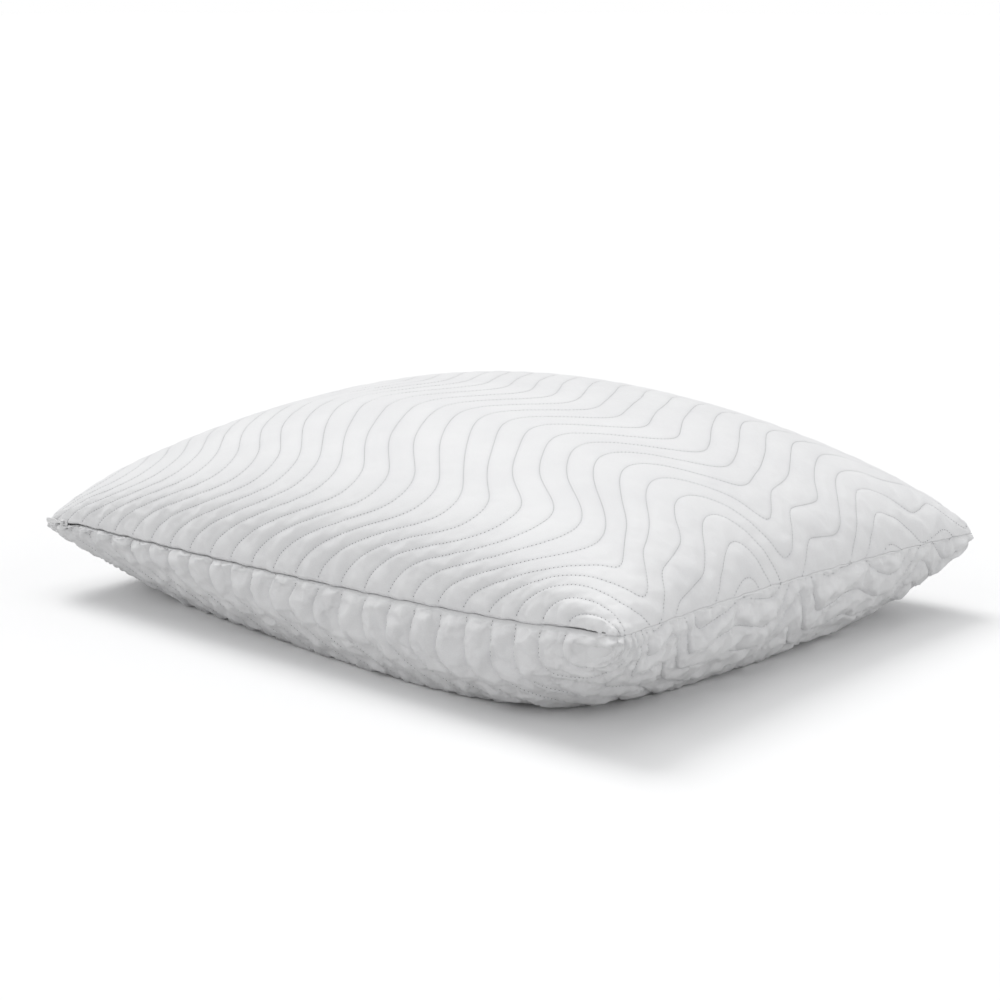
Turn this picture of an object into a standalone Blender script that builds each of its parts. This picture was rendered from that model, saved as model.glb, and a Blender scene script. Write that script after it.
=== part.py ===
"""A bed pillow: a quilted zip-off cover around a cased, filled inner pillow.

Frame: metres, +Z up, +X along the long sides, origin under the middle on the floor.
The zip is in the long side at -Y. It rises slightly towards +X, where one corner is lifted.
Soft layers are nested domes that share one outline rule, so each follows its neighbour.
"""
import math

import bmesh
import bpy
from mathutils import Matrix, Vector

# ---- overall sizes of the filled pillow, corner to corner ----
LENGTH = 0.650
WIDTH = 0.500
TOP_CROWN = 0.126          # crown of the top panel above the side seam
BOTTOM_CROWN = 0.136       # the same under the seam, before the floor flattens it
SEAM_HEIGHT = 0.070        # side seam above the floor
CORNER_LIFT = 0.022        # how much higher the seam is at the +X -Y corner
LONG_SIDE_WAIST = 0.022    # how far the sewn long side is drawn in at its middle
SHORT_SIDE_WAIST = 0.011   # how far each short side is drawn in at its middle
CORNER_BLUNTING = 0.004    # how far each corner is rounded back, along X and along Y

# ---- cross-section shape: height = crown * (1 - |u|^2)^a * (1 - |v|^2)^b ----
TOP_POWER_LONG = 0.52
TOP_POWER_SHORT = 0.34
BOTTOM_POWER = 0.38

# ---- layers, from the outside in ----
GAP = 0.0003               # between pieces that touch
FACE_THICKNESS = 0.0008
WADDING_THICKNESS = 0.0032
BACKING_THICKNESS = 0.0005
CASE_THICKNESS = 0.0008

# ---- seams ----
ALLOWANCE_WIDTH = 0.008    # turned-in seam allowance
ALLOWANCE_THICKNESS = 0.0024
CASE_ALLOWANCE_WIDTH = 0.006
CASE_SEAM_INSET = 0.018    # the inner case's seam lies this far inside the cover's outline

# ---- zip ----
ZIP_SLIT = 0.0020          # height of the slit between the cover's two lips
TAPE_THICKNESS = 0.0007
TAPE_HEIGHT = 0.011
TAPE_CLEARANCE = 0.0005    # between a tape and the twisted inner face of its panel
COIL_HEIGHT = 0.0016
COIL_DEPTH = 0.0018
COIL_SLIT = 0.0013         # between the two coils, where the slider's neck runs
SLIDER_LENGTH = 0.0090
SLIDER_WALL = 0.0008
NECK_THICKNESS = 0.0007
NECK_LENGTH = 0.0045
CROWN_HEIGHT = 0.0044
CROWN_THICKNESS = 0.0010
CHEEK_THICKNESS = 0.0009
CHEEK_LENGTH = 0.0032
PIN_RADIUS = 0.0005
EYE_WALL = 0.0006          # metal round the hole in the puller's eye
PULLER_EYE_HEIGHT = 0.0016
PULLER_LENGTH = 0.0220
PULLER_NECK = 0.0073       # from the hinge pin to where the puller's tab starts
PULLER_WIDTH = 0.0042
PULLER_THICKNESS = 0.0010
STOP_LENGTH = 0.0040
STOP_SHOULDER = 0.0004     # how far a stop stands out beyond the coil
SLIDER_REST_GAP = 0.0010   # between the slider and the top stops when closed

# ---- label ----
LABEL_WIDTH = 0.030
LABEL_DROP = 0.040
LABEL_REACH = 0.0065       # how far the label stands off the seam
LABEL_THICKNESS = 0.0006
LABEL_LINE = 4             # the grid line of the sewn long side that it hangs at

# ---- mesh density of the domes ----
CELLS_LONG = 18
CELLS_SHORT = 14
ZIP_FIRST_CELL = 2         # the zip starts at this grid line and ends as far from the other end

LAYER_1 = FACE_THICKNESS + GAP
LAYER_2 = LAYER_1 + WADDING_THICKNESS + GAP
COVER_THICKNESS = LAYER_2 + BACKING_THICKNESS


def clear_scene():
    for thing in list(bpy.data.objects):
        bpy.data.objects.remove(thing, do_unlink=True)


def material(name, colour, roughness, metallic=0.0):
    made = bpy.data.materials.new(name)
    made.use_nodes = True
    shader = made.node_tree.nodes["Principled BSDF"]
    shader.inputs["Base Color"].default_value = (*colour, 1.0)
    shader.inputs["Roughness"].default_value = roughness
    shader.inputs["Metallic"].default_value = metallic
    return made


def add_object(name, mesh, look, parent=None, smooth=True):
    made = bpy.data.objects.new(name, mesh)
    bpy.context.scene.collection.objects.link(made)
    mesh.materials.append(look)
    if smooth:
        mesh.shade_smooth()
        mesh.set_sharp_from_angle(angle=math.radians(35))
    if parent:
        made.parent = parent
    return made


def mesh_from(name, points, faces):
    """A mesh whose faces are turned to point outwards."""
    mesh = bpy.data.meshes.new(name)
    mesh.from_pydata(points, [], faces)
    shape = bmesh.new()
    shape.from_mesh(mesh)
    bmesh.ops.recalc_face_normals(shape, faces=shape.faces)
    if shape.calc_volume(signed=True) < 0:
        bmesh.ops.reverse_faces(shape, faces=shape.faces)
    shape.to_mesh(mesh)
    shape.free()
    return mesh


# ---------------------------------------------------------------- the pillow's form

def grid_values(cells):
    """Values from -1 to 1, closer together towards the seam."""
    return [math.sin(math.pi / 2 * (2 * i / cells - 1)) for i in range(cells + 1)]


U_LINES = grid_values(CELLS_LONG)
V_LINES = grid_values(CELLS_SHORT)


def outline_point(u, v, inset):
    """Plan position for a place on the square -1..1 by -1..1."""
    waist_back = LONG_SIDE_WAIST * (1 + v) / 2
    x = u * (LENGTH / 2 - inset - SHORT_SIDE_WAIST * (1 - v * v))
    y = v * (WIDTH / 2 - inset - waist_back * (1 - u * u))
    blunt = (u * v) ** 60
    x -= math.copysign(CORNER_BLUNTING * blunt, u)
    y -= math.copysign(CORNER_BLUNTING * blunt, v)
    return x, y


def seam_height(u, v):
    return SEAM_HEIGHT + CORNER_LIFT * (1 + u) * (1 - v) / 4


def top_height(u, v, drop):
    rise = max(1 - u * u, 0) ** TOP_POWER_LONG * max(1 - v * v, 0) ** TOP_POWER_SHORT
    return seam_height(u, v) + (TOP_CROWN - drop) * rise


def bottom_height(u, v, drop):
    fall = (max(1 - u * u, 0) * max(1 - v * v, 0)) ** BOTTOM_POWER
    return max(seam_height(u, v) - (BOTTOM_CROWN - drop) * fall, drop)


def lip_lift(u, v):
    """Half the height between the cover's edges: a hair, and the zip's slit at -Y."""
    first = U_LINES[ZIP_FIRST_CELL]
    beyond = U_LINES[ZIP_FIRST_CELL - 1]
    along = min(max((abs(u) - abs(beyond)) / (abs(first) - abs(beyond)), 0), 1)
    near_edge = 1.0 if v <= V_LINES[0] else 0.0
    return GAP / 2 + near_edge * along * (ZIP_SLIT - GAP) / 2


def seam_lift(u, v):
    """The same for the inner case, which has no zip."""
    return GAP / 2


def dome_points(side, inset, drop, lift):
    """The grid of points of one dome surface. side is 1 for a top panel and -1 for a bottom one."""
    height = top_height if side > 0 else bottom_height
    points = []
    for u in U_LINES:
        for v in V_LINES:
            x, y = outline_point(u, v, inset)
            points.append((x, y, height(u, v, drop) + side * lift(u, v)))
    return points


def rim_indices(columns, rows):
    """The grid's edge as one loop of indices."""
    last = columns - 1
    loop = [i * rows for i in range(columns)]
    loop += [last * rows + j for j in range(1, rows)]
    loop += [i * rows + rows - 1 for i in range(last - 1, -1, -1)]
    loop += [j for j in range(rows - 2, 0, -1)]
    return loop


def grid_faces(columns, rows, start=0):
    """Triangles over the grid. Each cell is cut along its ridge, so nested domes stay clear."""
    faces = []
    for i in range(columns - 1):
        for j in range(rows - 1):
            a = start + i * rows + j
            b, c, d = a + rows, a + rows + 1, a + 1
            if (2 * i - columns + 2) * (2 * j - rows + 2) >= 0:
                faces += [(a, b, c), (a, c, d)]
            else:
                faces += [(a, b, d), (b, c, d)]
    return faces


def closed_between(name, first, second, look):
    """A solid between two grids of points, joined around the rim."""
    columns, rows = len(U_LINES), len(V_LINES)
    faces = grid_faces(columns, rows) + grid_faces(columns, rows, len(first))
    loop = rim_indices(columns, rows)
    for a, b in zip(loop, loop[1:] + loop[:1]):
        faces.append((a, b, b + len(first), a + len(first)))
    return add_object(name, mesh_from(name, first + second, faces), look)


def shell(name, side, inset, drop, thickness, lift, look):
    """One layer of a panel: two nested domes with an open rim at the seam."""
    outer = dome_points(side, inset, drop, lift)
    inner = dome_points(side, inset + thickness, drop + thickness, lift)
    return closed_between(name, outer, inner, look)


def cushion(name, inset, drop, look):
    """The solid that fills the inner case."""
    top = dome_points(1, inset, drop, seam_lift)
    bottom = dome_points(-1, inset, drop, seam_lift)
    return closed_between(name, top, bottom, look)


def allowance(name, inset, width, open_front, look):
    """A flat fin that runs inside the seam, round three sides or all four."""
    columns, rows = len(U_LINES), len(V_LINES)
    loop = rim_indices(columns, rows)
    if open_front:
        loop = loop[columns:]
    rings = []
    for depth, lift in ((0, -1), (width, -1), (width, 1), (0, 1)):
        ring = []
        for index in loop:
            u, v = U_LINES[index // rows], V_LINES[index % rows]
            x, y = outline_point(u, v, inset + depth)
            ring.append((x, y, seam_height(u, v) + lift * ALLOWANCE_THICKNESS / 2))
        rings.append(ring)
    count = len(loop)
    points = [point for ring in rings for point in ring]
    spans = count if not open_front else count - 1
    faces = []
    for k in range(4):
        for i in range(spans):
            a, b = k * count + i, k * count + (i + 1) % count
            c, d = (k + 1) % 4 * count + (i + 1) % count, (k + 1) % 4 * count + i
            faces.append((a, b, c, d))
    if open_front:
        faces.append(tuple(k * count for k in range(4)))
        faces.append(tuple(k * count + count - 1 for k in range(3, -1, -1)))
    return add_object(name, mesh_from(name, points, faces), look, smooth=False)


# ---------------------------------------------------------------- the zip

ZIP_START_X = outline_point(U_LINES[ZIP_FIRST_CELL], -1, 0)[0]
ZIP_END_X = -ZIP_START_X
ZIP_SLOPE = math.atan2(CORNER_LIFT, LENGTH)
FRONT_Y = -WIDTH / 2
TAPE_Y = COVER_THICKNESS + TAPE_CLEARANCE
COIL_REACH = COIL_SLIT / 2 + COIL_HEIGHT
CHANNEL_INNER = COIL_REACH + GAP
CHANNEL_OUTER = CHANNEL_INNER + SLIDER_WALL


def first_row_edges(side, u, depth):
    """The two ends of a panel's first row of cells at -Y, as (x, y, z)."""
    height = top_height if side > 0 else bottom_height
    ends = []
    for v in V_LINES[:2]:
        x, y = outline_point(u, v, depth)
        ends.append(Vector((x, y, height(u, v, depth) + side * lip_lift(u, v))))
    return ends


def lean(rise):
    """How far the tapes lean inwards at a height above the slit, at most, along the zip."""
    most = 0.0
    for u in U_LINES[ZIP_FIRST_CELL:-ZIP_FIRST_CELL]:
        for side in (-1, 1):
            low, high = first_row_edges(side, u, TAPE_Y)
            most = max(most, rise * (high.y - low.y) / abs(high.z - low.z))
    return most


COIL_Y = TAPE_Y + TAPE_THICKNESS + GAP + lean(COIL_REACH + STOP_SHOULDER)
CHANNEL_Y = TAPE_Y + TAPE_THICKNESS + GAP + lean(CHANNEL_OUTER)
SLIDER_BACK_Y = max(COIL_Y, CHANNEL_Y) + COIL_DEPTH + GAP
SLIDER_START = STOP_LENGTH + SLIDER_REST_GAP + SLIDER_LENGTH / 2


def zip_frame():
    """An empty at the closed end of the zip. Its X runs along the zip and its Y points inwards."""
    guide = bpy.data.objects.new("zip_line", None)
    bpy.context.scene.collection.objects.link(guide)
    guide.location = (ZIP_START_X, FRONT_Y, seam_height(U_LINES[ZIP_FIRST_CELL], -1))
    guide.rotation_euler = (0, -ZIP_SLOPE, 0)
    return guide


def box_mesh(name, low, high):
    shape = bmesh.new()
    size = [b - a for a, b in zip(low, high)]
    centre = [(a + b) / 2 for a, b in zip(low, high)]
    placed = Matrix.Translation(centre) @ Matrix.Diagonal((*size, 1))
    bmesh.ops.create_cube(shape, size=1, matrix=placed)
    mesh = bpy.data.meshes.new(name)
    shape.to_mesh(mesh)
    shape.free()
    return mesh


def zip_tape(name, side, look):
    """A tape that lies on the inner face of its panel, following the panel's first row of cells."""
    stretch = U_LINES[ZIP_FIRST_CELL:-ZIP_FIRST_CELL]
    points = []
    for u in stretch:
        for depth in (TAPE_Y, TAPE_Y + TAPE_THICKNESS):
            low, high = first_row_edges(side, u, depth)
            points.append(low)
            points.append(low.lerp(high, TAPE_HEIGHT / abs(high.z - low.z)))
    count = len(stretch) - 1
    faces = []
    for i in range(count):
        a, b = 4 * i, 4 * (i + 1)
        for first, second in ((0, 1), (1, 3), (3, 2), (2, 0)):
            faces.append((a + first, a + second, b + second, b + first))
    faces.append((0, 2, 3, 1))
    faces.append((4 * count, 4 * count + 1, 4 * count + 3, 4 * count + 2))
    return add_object(name, mesh_from(name, points, faces), look, smooth=False)


def zip_coil(name, side, guide, look):
    length = (ZIP_END_X - ZIP_START_X) / math.cos(ZIP_SLOPE)
    near, far = sorted((side * COIL_SLIT / 2, side * (COIL_SLIT / 2 + COIL_HEIGHT)))
    low = (STOP_LENGTH + GAP, COIL_Y, near)
    high = (length - STOP_LENGTH - GAP, COIL_Y + COIL_DEPTH, far)
    coil = add_object(name, box_mesh(name, low, high), look, guide, smooth=False)
    rounding = coil.modifiers.new("Bevel", "BEVEL")
    rounding.width = COIL_HEIGHT / 4
    rounding.segments = 1
    return coil


def prism(name, near_end, far_end):
    """A solid between two copies of one outline."""
    count = len(near_end)
    faces = [(i, (i + 1) % count, count + (i + 1) % count, count + i) for i in range(count)]
    faces.append(tuple(range(count)))
    faces.append(tuple(range(2 * count - 1, count - 1, -1)))
    return mesh_from(name, near_end + far_end, faces)


def channel_mesh(name):
    """The slider's body: a shallow channel that wraps the two coils from the inside."""
    inner, outer = CHANNEL_INNER, CHANNEL_OUTER
    back = SLIDER_BACK_Y + SLIDER_WALL
    section = [(-outer, CHANNEL_Y), (-inner, CHANNEL_Y), (-inner, SLIDER_BACK_Y), (inner, SLIDER_BACK_Y)]
    section += [(inner, CHANNEL_Y), (outer, CHANNEL_Y), (outer, back), (-outer, back)]
    half = SLIDER_LENGTH / 2
    return prism(name, [(-half, y, z) for z, y in section], [(half, y, z) for z, y in section])


def combine(target, tool_mesh, operation):
    """A Boolean with a further mesh, held by a guide object that isn't part of the pillow."""
    tool = bpy.data.objects.new(f"{target.name}_{tool_mesh.name}", tool_mesh)
    bpy.context.scene.collection.objects.link(tool)
    tool.parent = target.parent
    tool.location = target.location
    tool.hide_render = True
    tool.display_type = "WIRE"
    step = target.modifiers.new(tool_mesh.name, "BOOLEAN")
    step.operation = operation
    step.object = tool


def cylinder_mesh(name, radius, low, high, segments=16):
    """An upright cylinder along Z."""
    shape = bmesh.new()
    place = Matrix.Translation((0, 0, (low + high) / 2))
    bmesh.ops.create_cone(shape, cap_ends=True, segments=segments, radius1=radius, radius2=radius,
                          depth=high - low, matrix=place)
    mesh = bpy.data.meshes.new(name)
    shape.to_mesh(mesh)
    shape.free()
    return mesh


CHEEK_INNER = PULLER_EYE_HEIGHT / 2 + GAP
CHEEK_OUTER = CHEEK_INNER + CHEEK_THICKNESS
CROWN_OUTER_Y = -GAP - CROWN_THICKNESS
EYE_HOLE = PIN_RADIUS + GAP
EYE_RADIUS = EYE_HOLE + EYE_WALL
PIN_Y = CROWN_OUTER_Y - GAP - EYE_RADIUS
CHEEK_OUTER_Y = PIN_Y - PIN_RADIUS - 0.5 * CHEEK_THICKNESS


def zip_slider(guide, look):
    """Channel behind the coils, neck through the slit, crown plate and hinge pin outside."""
    slider = add_object("zip_slider", channel_mesh("zip_slider"), look, guide)
    slider.location = (SLIDER_START, 0, 0)
    neck_half = NECK_THICKNESS / 2
    combine(slider, box_mesh("neck", (-NECK_LENGTH / 2, CROWN_OUTER_Y / 2, -neck_half),
                             (NECK_LENGTH / 2, SLIDER_BACK_Y + SLIDER_WALL / 2, neck_half)), "UNION")
    combine(slider, box_mesh("crown", (-SLIDER_LENGTH / 2, CROWN_OUTER_Y, -CROWN_HEIGHT / 2),
                             (SLIDER_LENGTH / 2, -GAP, CROWN_HEIGHT / 2)), "UNION")
    for word, low, high in (("lower", -CHEEK_OUTER, -CHEEK_INNER), ("upper", CHEEK_INNER, CHEEK_OUTER)):
        cheek = box_mesh(f"cheek_{word}", (-CHEEK_LENGTH / 2, CHEEK_OUTER_Y, low),
                         (CHEEK_LENGTH / 2, CROWN_OUTER_Y + CROWN_THICKNESS / 2, high))
        combine(slider, cheek, "UNION")
    pin_end = (CHEEK_INNER + CHEEK_OUTER) / 2
    pin = cylinder_mesh("pin", PIN_RADIUS, -pin_end, pin_end)
    pin.transform(Matrix.Translation((0, PIN_Y, 0)))
    combine(slider, pin, "UNION")


def tab_mesh(name):
    """The puller's tab: a plate with a round far end and a tapered near end."""
    radius = PULLER_WIDTH / 2
    arc = [math.radians(90 + 180 * k / 8) for k in range(9)]
    outline = [(radius - PULLER_LENGTH + radius * math.cos(a), radius * math.sin(a)) for a in arc]
    shoulder = -PULLER_NECK - radius
    outline += [(shoulder, -radius), (-PULLER_NECK, -PULLER_EYE_HEIGHT / 2)]
    outline += [(-PULLER_NECK, PULLER_EYE_HEIGHT / 2), (shoulder, radius)]
    half = PULLER_THICKNESS / 2
    return prism(name, [(x, -half, z) for x, z in outline], [(x, half, z) for x, z in outline])


def zip_puller(guide, look):
    """A flat tab on an eye that turns on the slider's pin. At rest it points to the closed end."""
    half_high, half_thick = PULLER_EYE_HEIGHT / 2, PULLER_THICKNESS / 2
    eye = cylinder_mesh("zip_puller", EYE_RADIUS, -half_high, half_high, 20)
    puller = add_object("zip_puller", eye, look, guide)
    puller.location = (SLIDER_START, PIN_Y, 0)
    arm = box_mesh("arm", (-PULLER_NECK - EYE_WALL, -half_thick, -half_high),
                   (-EYE_HOLE - EYE_WALL / 4, half_thick, half_high))
    combine(puller, arm, "UNION")
    combine(puller, tab_mesh("tab"), "UNION")
    combine(puller, cylinder_mesh("hole", EYE_HOLE, -PULLER_EYE_HEIGHT, PULLER_EYE_HEIGHT, 20), "DIFFERENCE")


def zip_stop(name, x_low, z_low, z_high, guide, look):
    low = (x_low, COIL_Y, z_low)
    high = (x_low + STOP_LENGTH, COIL_Y + COIL_DEPTH, z_high)
    stop = add_object(name, box_mesh(name, low, high), look, guide, smooth=False)
    rounding = stop.modifiers.new("Bevel", "BEVEL")
    rounding.width = 0.0003
    rounding.segments = 1
    return stop


def zip_stops(guide, look):
    reach = COIL_REACH + STOP_SHOULDER
    zip_stop("zip_top_stop_upper", 0, COIL_SLIT / 2, reach, guide, look)
    zip_stop("zip_top_stop_lower", 0, -reach, -COIL_SLIT / 2, guide, look)
    length = (ZIP_END_X - ZIP_START_X) / math.cos(ZIP_SLOPE)
    zip_stop("zip_bottom_stop", length - STOP_LENGTH, -reach, reach, guide, look)


# ---------------------------------------------------------------- the label

def care_label(look):
    """A blank ribbon that hangs from the sewn long side near a corner, in line with the seam."""
    u = U_LINES[LABEL_LINE]
    reach, half_thick = LABEL_REACH, LABEL_THICKNESS / 2
    outer = [(0, half_thick), (0.4 * reach, half_thick), (0.85 * reach, -0.2 * reach)]
    outer += [(reach, -reach), (reach, -LABEL_DROP)]
    inner = [(0, -half_thick), (0.35 * reach, -half_thick), (0.85 * reach - 2 * half_thick, -0.35 * reach)]
    inner += [(reach - 2 * half_thick, -reach), (reach - 2 * half_thick, -LABEL_DROP)]
    section = outer + inner[::-1]
    ends = []
    for offset in (-LABEL_WIDTH / 2, LABEL_WIDTH / 2):
        x, y = outline_point(u + offset / (LENGTH / 2), 1.0, 0)
        z = seam_height(u, 1.0)
        ends.append([(x, y + GAP + a, z + b) for a, b in section])
    return add_object("care_label", prism("care_label", *ends), look, smooth=False)


def build():
    clear_scene()
    white = material("face_fabric", (0.86, 0.86, 0.87), 0.85)
    wadding = material("wadding", (0.90, 0.90, 0.90), 0.95)
    backing = material("backing", (0.84, 0.84, 0.85), 0.90)
    thread = material("thread", (0.82, 0.82, 0.83), 0.80)
    tape = material("zip_tape", (0.84, 0.84, 0.84), 0.80)
    nylon = material("zip_coil", (0.88, 0.88, 0.87), 0.35)
    enamel = material("zip_metal", (0.85, 0.85, 0.85), 0.30)
    lining = material("case_fabric", (0.88, 0.88, 0.88), 0.85)
    fill = material("filling", (0.92, 0.92, 0.91), 0.95)
    satin = material("label", (0.93, 0.93, 0.93), 0.45)

    for word, side in (("top", 1), ("bottom", -1)):
        shell(f"{word}_face_fabric", side, 0, 0, FACE_THICKNESS, lip_lift, white)
        shell(f"{word}_wadding", side, LAYER_1, LAYER_1, WADDING_THICKNESS, lip_lift, wadding)
        shell(f"{word}_backing", side, LAYER_2, LAYER_2, BACKING_THICKNESS, lip_lift, backing)
    fin_clearance = GAP + ALLOWANCE_THICKNESS / 2
    allowance("cover_overlock", COVER_THICKNESS + fin_clearance, ALLOWANCE_WIDTH, True, thread)

    guide = zip_frame()
    zip_tape("zip_tape_upper", 1, tape)
    zip_tape("zip_tape_lower", -1, tape)
    zip_coil("zip_coil_upper", 1, guide, nylon)
    zip_coil("zip_coil_lower", -1, guide, nylon)
    zip_slider(guide, enamel)
    zip_puller(guide, enamel)
    zip_stops(guide, enamel)
    care_label(satin)

    case_drop = COVER_THICKNESS + GAP
    shell("inner_case_top", 1, CASE_SEAM_INSET, case_drop, CASE_THICKNESS, seam_lift, lining)
    shell("inner_case_bottom", -1, CASE_SEAM_INSET, case_drop, CASE_THICKNESS, seam_lift, lining)
    fin_inset = CASE_SEAM_INSET + CASE_THICKNESS + fin_clearance
    allowance("inner_case_overlock", fin_inset, CASE_ALLOWANCE_WIDTH, False, thread)
    fill_inset = fin_inset + CASE_ALLOWANCE_WIDTH + GAP
    cushion("filling", fill_inset, case_drop + CASE_THICKNESS + GAP, fill)


build()
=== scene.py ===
"""Looks of the bed pillow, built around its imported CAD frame.

The quilted cover is two padded panels. Each starts from the CAD's dome, a little settled. Its stitch
lines are level lines of one field over the flat cloth. A cloth simulation blows it up with those
lines held down, so the puffs and puckers come from the cloth itself.

u and v run from -1 to 1 across the pillow. s and t are mm over the flat cloth, from its middle.
side is 1 for the top panel and -1 for the bottom one. Lengths are in metres unless said.
"""
import math

import bmesh
import bpy
import numpy as np
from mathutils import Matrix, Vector


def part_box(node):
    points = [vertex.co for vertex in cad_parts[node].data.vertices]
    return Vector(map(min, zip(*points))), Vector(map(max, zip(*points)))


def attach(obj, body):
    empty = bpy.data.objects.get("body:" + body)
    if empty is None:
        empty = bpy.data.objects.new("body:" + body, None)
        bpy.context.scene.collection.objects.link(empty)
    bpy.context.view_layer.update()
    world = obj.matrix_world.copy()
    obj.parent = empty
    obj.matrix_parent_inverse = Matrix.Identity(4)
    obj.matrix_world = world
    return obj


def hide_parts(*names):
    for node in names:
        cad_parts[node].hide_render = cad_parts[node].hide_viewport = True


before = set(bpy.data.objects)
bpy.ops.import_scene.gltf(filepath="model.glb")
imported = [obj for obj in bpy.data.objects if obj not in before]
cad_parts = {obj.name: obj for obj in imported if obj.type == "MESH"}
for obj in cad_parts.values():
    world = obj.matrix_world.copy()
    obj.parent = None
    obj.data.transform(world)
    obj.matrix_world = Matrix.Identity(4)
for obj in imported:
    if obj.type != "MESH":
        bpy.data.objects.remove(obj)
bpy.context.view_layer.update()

# ---------------------------------------------------------------- the pillow's form

LENGTH, WIDTH = 0.650, 0.500
TOP_CROWN, BOTTOM_CROWN = 0.126, 0.136
SEAM_HEIGHT, CORNER_LIFT = 0.070, 0.022
LONG_SIDE_WAIST, SHORT_SIDE_WAIST = 0.022, 0.011
CORNER_BLUNTING = 0.004
COVER_THICKNESS = 0.0051
FLOOR_CLEARANCE = 0.0002

# The looks settle from the CAD's dome, to follow the photo's outline
ZIP_SAG = 0.0066           # how far the zipped edge hangs below a straight line, midway
SLIDER_STOP = 0.90         # the seam is straight from here to its ends, where the slider stands
SIDE_RISE = 0.001          # how far the short +X edge bows upwards
TIP_DROOP = 0.004          # how far the -X -Y tip hangs
TOP_SETTLE = 0.0025        # how much lower than the CAD the crown has settled

# How full each dome is: powers along X at the -X and the +X side, then across
TOP_POWERS_ALONG = (0.54, 0.485)
TOP_POWER_ACROSS = 0.31
BOTTOM_POWERS_ALONG = (0.25, 0.41)
BOTTOM_POWERS_ACROSS = (0.60, 0.28)


def smooth(x, low, high):
    """Rises from 0 at low to 1 at high, with no corner at either."""
    t = np.clip((x - low) / (high - low), 0, 1)
    return t * t * (3 - 2 * t)


def between(pair, share):
    return pair[0] + (pair[1] - pair[0]) * share


def seam_height(u, v):
    straight = SEAM_HEIGHT + CORNER_LIFT * (1 + u) * (1 - v) / 4
    near_long = ((1 - v) / 2) ** 4
    near_short = ((1 + u) / 2) ** 4
    middle = np.clip(1 - u * u, 0, 1) * (1 + 0.5 * u) * smooth(SLIDER_STOP - np.abs(u), 0, 0.16)
    sag = ZIP_SAG * near_long * middle
    rise = SIDE_RISE * near_short * np.clip(1 - v * v, 0, 1)
    droop = TIP_DROOP * near_long * smooth(-u, 0.8, 1.0)
    return straight - sag + rise - droop


def surface(u, v, side, inset=0.0, drop=0.0):
    """Points of one dome, drawn in by inset at the seam and lowered by drop."""
    waist = LONG_SIDE_WAIST * (1 + v) / 2
    x = u * (LENGTH / 2 - inset - SHORT_SIDE_WAIST * (1 - v * v))
    y = v * (WIDTH / 2 - inset - waist * (1 - u * u))
    blunt = np.abs(u * v) ** 60
    x = x - np.copysign(CORNER_BLUNTING * blunt, u)
    y = y - np.copysign(CORNER_BLUNTING * blunt, v)
    a, b = np.clip(1 - u * u, 0, 1), np.clip(1 - v * v, 0, 1)
    right = smooth(u, -1, 1)
    if side > 0:
        along = between(TOP_POWERS_ALONG, right)
        z = seam_height(u, v) + (TOP_CROWN - TOP_SETTLE - drop) * a ** along * b ** TOP_POWER_ACROSS
    else:
        along, across = between(BOTTOM_POWERS_ALONG, right), between(BOTTOM_POWERS_ACROSS, right)
        z = seam_height(u, v) - (BOTTOM_CROWN - drop) * a ** along * b ** across
        z = np.maximum(z, drop + FLOOR_CLEARANCE)
    return np.stack([x, y, z], -1)


def arc_table(side, along_u, other):
    """Values of u (or v) against the length of cloth, in mm from its middle."""
    w = np.sin(np.linspace(-np.pi / 2, np.pi / 2, 1201))
    fixed = np.full_like(w, other)
    line = surface(w, fixed, side) if along_u else surface(fixed, w, side)
    run = np.concatenate([[0], np.cumsum(np.linalg.norm(np.diff(line, axis=0), axis=1))])
    return w, (run - run[-1] / 2) * 1000


# ---------------------------------------------------------------- the quilting pattern

LINE_SPACING = 25.0        # mm of cloth between stitch lines
CORNER_PLACE = 326         # the +X -Y corner of the cloth, in mm from its middle
RING_CORE = 42             # mm from that corner to the innermost ring

# How far a stitch line swings along s against its place t, both in mm
TOP_SWING = np.array([(-305, -116), (-292, -112), (-280, -100), (-262, -71), (-245, -45), (-228, -22),
                      (-215, -9), (-200, -2), (-185, 0), (-175, -4), (-160, -17), (-150, -27),
                      (-142, -36), (-125, -51), (-112, -61), (-100, -69), (-88, -74), (-76, -75),
                      (-66, -71), (-57, -64), (-48, -54), (-38, -44), (-25, -31), (-12, -22), (0, -19),
                      (10, -23), (30, -34), (50, -46), (70, -57), (90, -69), (112, -82), (130, -90),
                      (150, -93), (170, -88), (190, -77), (210, -68), (230, -66), (250, -70), (275, -84),
                      (305, -100)])
BOTTOM_SWING = np.array([(-296, -2), (-285, -7), (-275, -11), (-262, -14), (-250, -11), (-238, -3),
                         (-222, 10), (-205, 22), (-185, 30), (-170, 30), (-150, 22), (-125, 6),
                         (-100, -6), (-80, -8), (-60, 0), (-35, 18), (-10, 30), (15, 30), (40, 18),
                         (65, 0), (90, -10), (110, -10), (135, 4), (165, 24), (190, 32), (215, 24),
                         (240, 8), (265, -4), (285, -6), (296, -4)])


def eased(table, t):
    """A smooth curve through a table: straight pieces, averaged over 18 mm."""
    total = 0
    for shift in (-9, -4.5, 0, 4.5, 9):
        total = total + np.interp(t + shift, table[:, 0], table[:, 1])
    return total / 5


def peaked(turn):
    """A wave from -1 to 1 with pointed crests."""
    return np.arcsin(0.9 * np.sin(turn)) / math.asin(0.9)


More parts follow.
